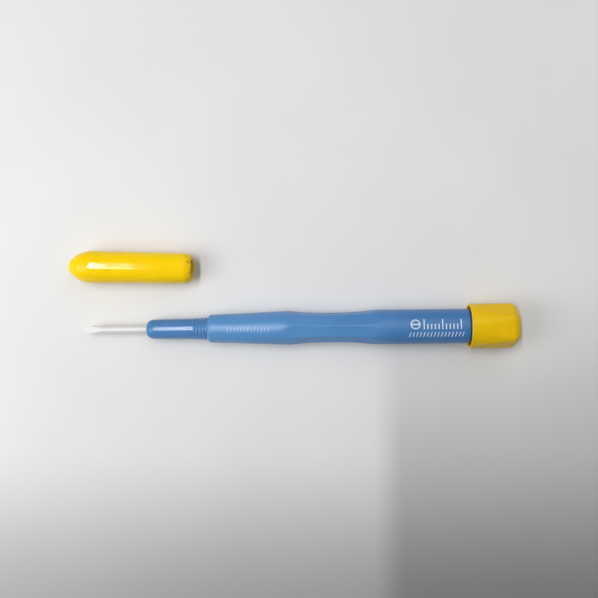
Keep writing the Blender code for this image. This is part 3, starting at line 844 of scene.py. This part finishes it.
# %% Cap finish
cap_yellow = new_finish("moulded_cap_yellow", Specular_IOR_Level=0.2, Subsurface_Weight=0.2,
                        Subsurface_Scale=0.001)
slow = cloud(cap_yellow, 5.0 * MM)
colour_drift(cap_yellow, slow, (0.82, 0.51, 0.002), (0.89, 0.57, 0.003))
roughness_drift(cap_yellow, cloud(cap_yellow, 1.8 * MM), 0.30, 0.42)
surface_bump(cap_yellow, cloud(cap_yellow, 0.35 * MM), 0.006 * MM, strength=0.5)
wear(cap, cap_yellow, "cap", "cap_yellow", "swivel_cap")
wear(plug, cap_yellow, "cap", "cap_yellow", "cap_plug")
print("cap and plug finished")

# %% [markdown]
# ### The cover's vinyl
#
# Dipped vinyl looks wet. Light enters it, so its shadows stay warm, and the surface has slow ripples but
# no grain. Only the trimmed lip is rough, with spots of a browner yellow mixed into its colour.

# %% Cover finish
vinyl = new_finish("dipped_vinyl_yellow", Specular_IOR_Level=0.22, Subsurface_Weight=0.3,
                   Subsurface_Scale=0.0015)
slow = cloud(vinyl, 7.0 * MM)
colour_drift(vinyl, slow, (0.98, 0.62, 0.002), (1.0, 0.68, 0.003))
roughness_drift(vinyl, slow, 0.05, 0.08)
surface_bump(vinyl, cloud(vinyl, 4 * MM, stretch=(3, 1, 1)), 0.006 * MM, strength=0.3)
ROUGH_FROM = 1.9 * MM
ROUGH_FULL = 0.9 * MM
mouth_x = (cover_lie @ Vector((0, 0, COVER_MOUTH))).x
at_lip = ramp_along(vinyl, "X", mouth_x - ROUGH_FROM, mouth_x - ROUGH_FULL)
lip_spot_noise = cloud(vinyl, 0.45 * MM, detail=2.0)
speckle(vinyl, lip_spot_noise, at_lip, (0.68, 0.36, 0.006))
torn = surface_bump(vinyl, lip_spot_noise, 0.012 * MM)
vinyl.node_tree.links.new(at_lip, torn.inputs["Strength"])
wear(cover, vinyl, "cover", "cover_yellow", "blade_cover")
print("cover finished")

# %% [markdown]
# ### Ink, steel and acetal
#
# The ink is thin and slightly uneven, so the blue shows through it a little, more so where fingers have
# worn the front marks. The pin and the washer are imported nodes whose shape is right, so they stay and only
# get a finish.

# %% Ink finish
ink = new_finish("white_pad_ink", IOR=1.5)
colour_drift(ink, cloud(ink, 0.25 * MM), (0.48, 0.62, 0.80), (0.80, 0.86, 0.93))
roughness_drift(ink, cloud(ink, 0.4 * MM), 0.35, 0.55)
worn_ink = new_finish("worn_pad_ink", IOR=1.5)
colour_drift(worn_ink, cloud(worn_ink, 0.3 * MM), (0.20, 0.38, 0.64), (0.44, 0.60, 0.80))
roughness_drift(worn_ink, cloud(worn_ink, 0.4 * MM), 0.35, 0.55)
for printed, finish in ((front_print, worn_ink), (rear_print, ink)):
    printed.data.materials.clear()
    printed.data.materials.append(finish)
    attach(printed, "tool")
print("ink finished")

# %% Steel and acetal finishes
steel = new_finish("turned_steel", metallic=1.0)
colour_drift(steel, cloud(steel, 1.0 * MM), (0.50, 0.50, 0.52), (0.64, 0.64, 0.66))
roughness_drift(steel, cloud(steel, 0.3 * MM), 0.22, 0.38)
surface_bump(steel, cloud(steel, 0.04 * MM, stretch=(1, 20, 20)), 0.002 * MM, strength=0.6)
acetal = new_finish("white_acetal", Subsurface_Weight=0.2, Subsurface_Scale=0.0005)
colour_drift(acetal, cloud(acetal, 1.5 * MM), (0.78, 0.78, 0.75), (0.86, 0.86, 0.84))
roughness_drift(acetal, cloud(acetal, 0.5 * MM), 0.38, 0.50)
surface_bump(acetal, cloud(acetal, 0.1 * MM), 0.002 * MM, strength=0.5)
for node, finish in (("swivel_pin", steel), ("thrust_washer", acetal)):
    for place in frame["nodes"][node].material_slots:
        place.material = finish
print("hidden nodes finished")

# %% [markdown]
# ## Table, light and camera
#
# The tool lies on a pale table under a long tube lamp, which hangs a little to the left and runs across the
# tool. It draws the bright streak along the top of each round piece, and its shadows are short and fall
# to the right. A window close by on the left and a bright wall beyond the tool add soft light, and the room
# fills the rest. Two dark cards over the near side of the table take some light away again, as a person
# who leans over it would, so that the floor and the handle's rear are not too flat.

# %% Table
bpy.ops.object.select_all(action="DESELECT")
bpy.ops.mesh.primitive_plane_add(size=3.0)
table = bpy.context.object
table.name = "table"
table_top = new_finish("pale_table", Specular_IOR_Level=0.2)
colour_drift(table_top, cloud(table_top, 40 * MM), (0.73, 0.73, 0.73), (0.77, 0.77, 0.77))
# Painted shade: the table's colour darkens towards its near side.
painted_shade_towards_front = ramp_along(table_top, "Y", start=-0.036, end=-0.075)
deepen(table_top, painted_shade_towards_front, (0.76, 0.76, 0.76))
roughness_drift(table_top, cloud(table_top, 5 * MM), 0.6, 0.75)
surface_bump(table_top, cloud(table_top, 0.8 * MM), 0.01 * MM, strength=0.3)
table.data.materials.append(table_top)
print("table ready")


# %% Lamps
def area_lamp(name, place, turned, width, height, power):
    """A rectangular lamp at a place, turned from facing straight down."""
    lamp_data = bpy.data.lights.new(name, "AREA")
    lamp_data.shape = "RECTANGLE"
    lamp_data.size = width
    lamp_data.size_y = height
    lamp_data.energy = power
    lamp = bpy.data.objects.new(name, lamp_data)
    bpy.context.scene.collection.objects.link(lamp)
    lamp.location = place
    lamp.rotation_euler = turned


def aimed(place, at):
    """The turn that faces a lamp from one place to another."""
    return (at - place).to_track_quat("-Z", "Y").to_euler()


TUBE_LEAN = math.radians(13.5)
TUBE_DISTANCE = 1.2
TUBE_AIM = Vector((-0.035, 0.15, 0))
TUBE_SIZE = (0.07, 0.80)
TUBE_POWER = 6.9
WINDOW_SIZE = (0.20, 0.20)
WINDOW_POWER = 0.39
WALL_SIZE = (0.6, 0.6)
WALL_POWER = 1.15
tube_place = TUBE_AIM + TUBE_DISTANCE * Vector((-math.sin(TUBE_LEAN), 0, math.cos(TUBE_LEAN)))
area_lamp("tube_lamp", tube_place, (0, -TUBE_LEAN, 0), *TUBE_SIZE, TUBE_POWER)
window_place = Vector((-0.21, -0.05, 0.20))
window_turned = aimed(window_place, Vector((-0.03, -0.02, 0)))
area_lamp("window", window_place, window_turned, *WINDOW_SIZE, WINDOW_POWER)
wall_place = Vector((0.25, 0.40, 0.65))
area_lamp("bright_wall", wall_place, aimed(wall_place, Vector((0, 0, 0))), *WALL_SIZE, WALL_POWER)


def shade(name, left, right, near, far, height):
    """A dark card over the table that keeps light off a part of it, and that no camera sees."""
    bpy.ops.object.select_all(action="DESELECT")
    bpy.ops.mesh.primitive_plane_add(size=1, location=((left + right) / 2, (near + far) / 2, height))
    card = bpy.context.object
    card.name = name
    card.scale = (right - left, far - near, 1)
    card.data.materials.append(dark_card)
    card.visible_camera = False
    card.visible_glossy = False


dark_card = new_finish("dark_card")
colour_drift(dark_card, cloud(dark_card, 5 * MM), (0.03, 0.03, 0.03), (0.05, 0.05, 0.05))
CARD_HEIGHT = 0.10
shade("right_shade", left=-0.006, right=0.12, near=-0.12, far=-0.019, height=CARD_HEIGHT)
shade("left_shade", left=-0.12, right=-0.006, near=-0.12, far=-0.055, height=CARD_HEIGHT)

ROOM_LIGHT = 0.21
world = bpy.data.worlds.new("room")
world.use_nodes = True
world.node_tree.nodes["Background"].inputs["Color"].default_value = (1.0, 1.0, 1.0, 1)
world.node_tree.nodes["Background"].inputs["Strength"].default_value = ROOM_LIGHT
bpy.context.scene.world = world
bpy.context.scene.view_settings.view_transform = "Standard"

# %% Camera
CAMERA_HEIGHT = 0.192
TOOL_HEIGHT = 0.005
VIEW_WIDTH = 0.1424
VIEW_MIDDLE = (0.0017, 0.0001)
VIEW_TURN = math.radians(-0.65)
camera_data = bpy.data.cameras.new("camera")
camera_data.sensor_width = 36.0
camera_data.lens = camera_data.sensor_width * (CAMERA_HEIGHT - TOOL_HEIGHT) / VIEW_WIDTH
camera_data.clip_start = 0.01
camera = bpy.data.objects.new("camera", camera_data)
bpy.context.scene.collection.objects.link(camera)
camera.location = (*VIEW_MIDDLE, CAMERA_HEIGHT)
camera.rotation_euler = (0, 0, VIEW_TURN)
bpy.context.scene.camera = camera
print("lens in mm:", round(camera_data.lens, 1))
